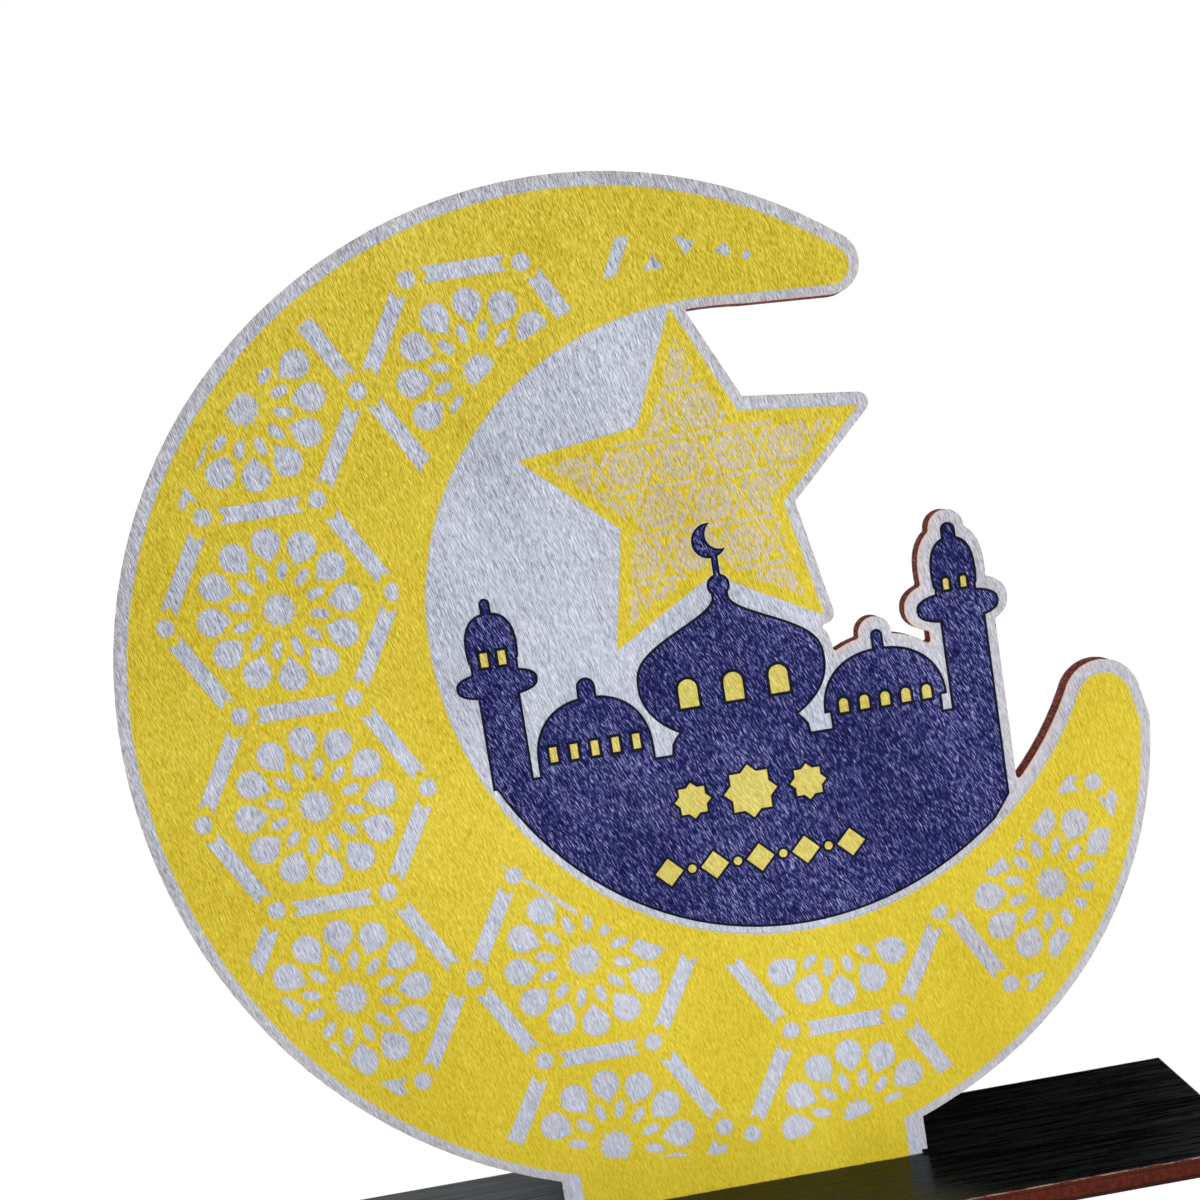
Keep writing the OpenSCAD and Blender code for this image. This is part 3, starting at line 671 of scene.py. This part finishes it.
# The star drawn in by the margin, as ten wedges from its middle. Its corners stand every 36
# degrees, on the star's radius and the notches' by turns, and each is drawn in along the sum of
# its two sides' inward normals, divided by one plus their dot product.
def starWedges(values):
    angle = np.radians(90 + values["starTurn"] + 36 * np.arange(10))
    radius = np.where(np.arange(10) % 2 == 0, values["starRadius"], values["starNotch"])
    points = np.stack([radius * np.cos(angle), radius * np.sin(angle)], axis=1)
    side = np.roll(points, -1, axis=0) - points
    side /= np.linalg.norm(side, axis=1)[:, None]
    inward = np.stack([-side[:, 1], side[:, 0]], axis=1)
    before = np.roll(inward, 1, axis=0)
    miter = (inward + before) / (1 + (inward * before).sum(axis=1))[:, None]
    drawnIn = points + miter * values["margin"] + np.array(values["star"])
    middle = np.tile(values["star"], (10, 1))
    return np.stack([middle, drawnIn, np.roll(drawnIn, -1, axis=0)], axis=1)


# Rim points of each kind of chip about its own middle, as radius over angle. A drop is a circle
# whose inner side runs to a point, a petal an oval, a dot a circle, and a bar the rounded box in
# which the fourth powers of across/width and along/length add up to 1. The seed is a star with
# twelve points.
def chipShapes(values):
    angle = 2 * np.pi * np.arange(values["rimPoints"]) / values["rimPoints"]
    cos, sin = np.cos(angle), np.sin(angle)
    _, end, length = values["drop"]
    point = np.maximum(0, -cos) ** values["dropPoint"]
    _, petalLong, petalWide = values["petal"]
    _, barLong, barWide = values["bar"]
    radii = dict(
        drop=end * (1 + (length / end - 1) * point),
        petal=petalLong * petalWide / np.hypot(petalWide * cos, petalLong * sin),
        bar=((cos / barWide) ** 4 + (sin / barLong) ** 4) ** -0.25,
        dot=np.full_like(angle, values["dot"]),
    )
    shapes = {kind: np.stack([radius * cos, radius * sin], axis=1) * values["share"]
              for kind, radius in radii.items()}
    seedAngle = np.pi / 12 * np.arange(24)
    seedRadius = np.where(np.arange(24) % 2 == 0, *values["seed"]) * values["share"]
    shapes["seed"] = np.stack([seedRadius * np.cos(seedAngle), seedRadius * np.sin(seedAngle)],
                              axis=1)
    return shapes


# Copies of a shape round every centre, at a ring's radius and turned to each of the angles
def spread(shape, centres, angles, ring):
    cos, sin = np.cos(angles), np.sin(angles)
    middles = centres[:, None] + ring * np.stack([cos, sin], axis=1)
    cos, sin = cos[:, None], sin[:, None]
    turned = np.stack([shape[:, 0] * cos - shape[:, 1] * sin,
                       shape[:, 0] * sin + shape[:, 1] * cos], axis=2)
    return (middles[:, :, None] + turned).reshape(-1, len(shape), 2), middles.reshape(-1, 2)


# The rims and middles of all chips near the star, kind by kind
def laceChips(values):
    share, side = values["share"], values["side"]
    reach = np.arange(-values["reach"], values["reach"] + 1)
    rows, columns = [grid.ravel() for grid in np.meshgrid(reach, reach)]
    centres = np.stack([(2 * columns + rows % 2) * side, rows * side * math.sqrt(3)], axis=1)
    centres = centres + np.array(values["centre"])
    near = np.hypot(*(centres - np.array(values["star"])).T) < values["starRadius"] + 2 * side
    twelfths, sixths = np.pi / 6 * np.arange(12), np.pi / 3 * np.arange(6)
    kinds = [
        ("drop", twelfths, values["drop"][0] * share),
        ("petal", twelfths + np.pi / 12, values["petal"][0] * share),
        ("bar", sixths + np.pi / 6, values["bar"][0] * share),
        ("dot", sixths[:3], side),
        ("seed", np.zeros(1), 0.0),
    ]
    shapes = chipShapes(values)
    return [spread(shapes[kind], centres[near], angles, ring) for kind, angles, ring in kinds]


# Draws each rim point in along its spoke, in halving steps, until it is on the print
def drawIn(rims, middles, onPrint, halvings):
    spokes = rims - middles[:, None]
    low, high = np.zeros(rims.shape[:2]), np.ones(rims.shape[:2])
    whole = onPrint(rims.reshape(-1, 2)).reshape(low.shape)
    for _ in range(halvings):
        half = (low + high) / 2
        tried = middles[:, None] + spokes * half[:, :, None]
        inside = onPrint(tried.reshape(-1, 2)).reshape(half.shape)
        low, high = np.where(inside, half, low), np.where(inside, high, half)
    return middles[:, None] + spokes * np.where(whole, 1.0, low)[:, :, None]


# Points and faces of the lace. Each chip has its middle and rim on top, its rim again below, a fan
# above, a wall round it and one face underneath.
def starLace(values):
    places, corners = trianglesOf("star_print")
    triangles = (places / mm)[corners]
    front = triangles[:, :, 1].min()
    onFace = np.abs(triangles[:, :, 1] - front).max(axis=1) < values["flatness"]
    printed = triangles[onFace][:, :, [0, 2]]
    wedges = starWedges(values)

    def onPrint(points):
        return insideTriangles(points, wedges) & insideTriangles(points, printed)

    points, faces, total = [], [], 0
    for rims, middles in laceChips(values):
        keep = onPrint(middles)
        rims, middles = rims[keep], middles[keep]
        rims = drawIn(rims, middles, onPrint, values["halvings"])
        count = rims.shape[1]
        block = np.concatenate([middles[:, None], rims, rims], axis=1)
        depth = np.concatenate([np.full(count + 1, front - values["proud"]),
                                np.full(count, front + values["sunk"])])
        flat = block.reshape(-1, 2)
        points.append(np.stack([flat[:, 0], np.tile(depth, len(block)), flat[:, 1]], axis=1))
        middle = total + np.arange(len(block))[:, None] * (2 * count + 1)
        step = np.arange(count)
        top, topAfter = middle + 1 + step, middle + 1 + (step + 1) % count
        fan = np.stack([middle + 0 * step, top, topAfter], axis=2)
        wall = np.stack([top, top + count, topAfter + count, topAfter], axis=2)
        under = top[:, ::-1] + count
        faces += fan.reshape(-1, 3).tolist() + wall.reshape(-1, 4).tolist() + under.tolist()
        total += len(flat)
    return np.concatenate(points) * mm, faces


meshPiece("star_lace", *starLace(lace), laceInk("laceInk", inks), "panel", "pale_ink")
print("stage 6: star lace laid")

# The base's arris: paint rubbed through in short pinkish dashes
wear = dict(
    proud=0.015 * mm,
    width=0.15 * mm,
    drop=0.12 * mm,
    black=(15, 15, 18),
    brown=(96, 46, 36),
    rubbed=(186, 150, 138),
    dash=(0.0032, 0.0005, 0.0005),  # size along X, Y and Z
    dashDetail=(3.0, 0.65),
    brownFrom=(0.36, 0.42),      # the dash noise over which brown, then bare wood, shows
    rubbedFrom=(0.46, 0.56),
    roughness=0.5,
    relief=0.00002,
    gloss=0.3,
)


def wornPaint(name, values):
    material, tree = bare(name)
    dashes = drawnNoise(tree, values["dash"], *values["dashDetail"])
    colour = ink(*values["black"])
    for tint in ("brown", "rubbed"):
        showing = fade(tree, dashes, *values[tint + "From"])
        colour = blendInks(tree, showing, colour, ink(*values[tint]))
    finishShader(tree, colour, values["roughness"], dashes, values["relief"],
                 Specular_IOR_Level=values["gloss"])
    return material


# A film round the arris; the numbers are shares of how proud it stands, its width and its drop
def wearProfile(values):
    proud, width, drop = [values[name] for name in ("proud", "width", "drop")]
    return [(-proud, drop), (-proud, drop * 0.4), (width * 0.15, proud * 0.4),
            (width * 0.45, -proud * 0.6), (width, -proud * 0.2), (width, proud), (proud, drop)]


carryProfile("worn_arris", "base_paint", 2, 1, wearProfile(wear), wornPaint("wornPaint", wear),
             "base", "black_paint")
print("stage 7: worn arris carried round the base")

# Stage: pale floor, white surroundings, soft light, and a dark card that only gloss sees
studio = dict(
    floorSize=6.0,
    floorColour=(244, 244, 245),
    white=1.0,
    glow=(0.93, 1.06),           # the glow's share of the floor, and its strength
    ambient=0.24,
    cardLow=(-0.045, 0.30, 0.0),
    cardHigh=(0.24, 0.30, 0.8),
)
lampAim = (0.0, 0.0, 0.075)
lamps = dict(                    # power in watts; low lights the foot's edge, back the plain side
    key=dict(place=(-0.28, -0.85, 0.42), power=3.7, size=0.8),
    fill=dict(place=(0.5, -0.7, 0.1), power=0.85, size=0.8),
    low=dict(place=(0.03, -0.16, 0.018), power=0.108, size=0.03),
    back=dict(place=(0.2, 1.0, 0.25), power=4.4, size=0.8, gloss=False),
)


def quad(name, corners, material):
    mesh = bpy.data.meshes.new(name)
    mesh.from_pydata(corners, [], [(0, 1, 2, 3)])
    mesh.materials.append(material)
    made = bpy.data.objects.new(name, mesh)
    bpy.context.scene.collection.objects.link(made)
    return made


# 1 for what the camera sees, straight or by gloss or glass
def cameraShare(tree):
    path = put(tree, "ShaderNodeLightPath")
    seen = calc(tree, "MAXIMUM", path.outputs["Is Camera Ray"], path.outputs["Is Glossy Ray"])
    return calc(tree, "MAXIMUM", seen, path.outputs["Is Transmission Ray"])


def makeWorld(values):
    world = bpy.data.worlds.new("surroundings")
    world.use_nodes = True
    tree = world.node_tree
    tree.nodes.clear()
    strength = put(tree, "ShaderNodeMapRange", {"Value": cameraShare(tree),
                   "To Min": values["ambient"], "To Max": values["white"]})
    background = put(tree, "ShaderNodeBackground", {"Color": (1, 1, 1, 1),
                     "Strength": strength.outputs["Result"]})
    put(tree, "ShaderNodeOutputWorld", {"Surface": background.outputs[0]})
    bpy.context.scene.world = world


def makeFloor(values):
    material, tree = bare("floorPaper")
    paper = put(tree, "ShaderNodeBsdfDiffuse", {"Color": ink(*values["floorColour"])})
    part, strength = values["glow"]
    glow = put(tree, "ShaderNodeEmission", {"Color": (1, 1, 1, 1), "Strength": strength})
    share = calc(tree, "MULTIPLY", cameraShare(tree), part)
    mixed = put(tree, "ShaderNodeMixShader", {0: share, 1: paper.outputs[0], 2: glow.outputs[0]})
    put(tree, "ShaderNodeOutputMaterial", {"Surface": mixed.outputs[0]})
    half = values["floorSize"] / 2
    quad("floor", [(-half, -half, 0), (half, -half, 0), (half, half, 0), (-half, half, 0)], material)


def makeCard(values):
    material, tree = bare("darkCard")
    black = put(tree, "ShaderNodeEmission", {"Color": (0, 0, 0, 1), "Strength": 0.0})
    put(tree, "ShaderNodeOutputMaterial", {"Surface": black.outputs[0]})
    (left, near, low), (right, _, high) = values["cardLow"], values["cardHigh"]
    card = quad("dark_card", [(left, near, low), (right, near, low), (right, near, high),
                              (left, near, high)], material)
    card.visible_camera = card.visible_diffuse = card.visible_shadow = False


# A round lamp turned to the middle of the panel
def makeLamp(name, place, power, size, gloss=True):
    data = bpy.data.lights.new(name, "AREA")
    data.shape, data.size, data.energy = "DISK", size, power
    made = bpy.data.objects.new(name, data)
    made.location = place
    aim = np.array(lampAim) - np.array(place)
    made.rotation_euler = (math.atan2(math.hypot(aim[0], aim[1]), -aim[2]), 0,
                           math.atan2(aim[1], aim[0]) - math.pi / 2)
    made.visible_camera = False
    made.visible_glossy = gloss
    bpy.context.scene.collection.objects.link(made)


makeWorld(studio)
makeFloor(studio)
makeCard(studio)
for name, lamp in lamps.items():
    makeLamp(name, **lamp)
bpy.context.scene.view_settings.view_transform = "Standard"
print("stage 8: floor, surroundings and lamps set")
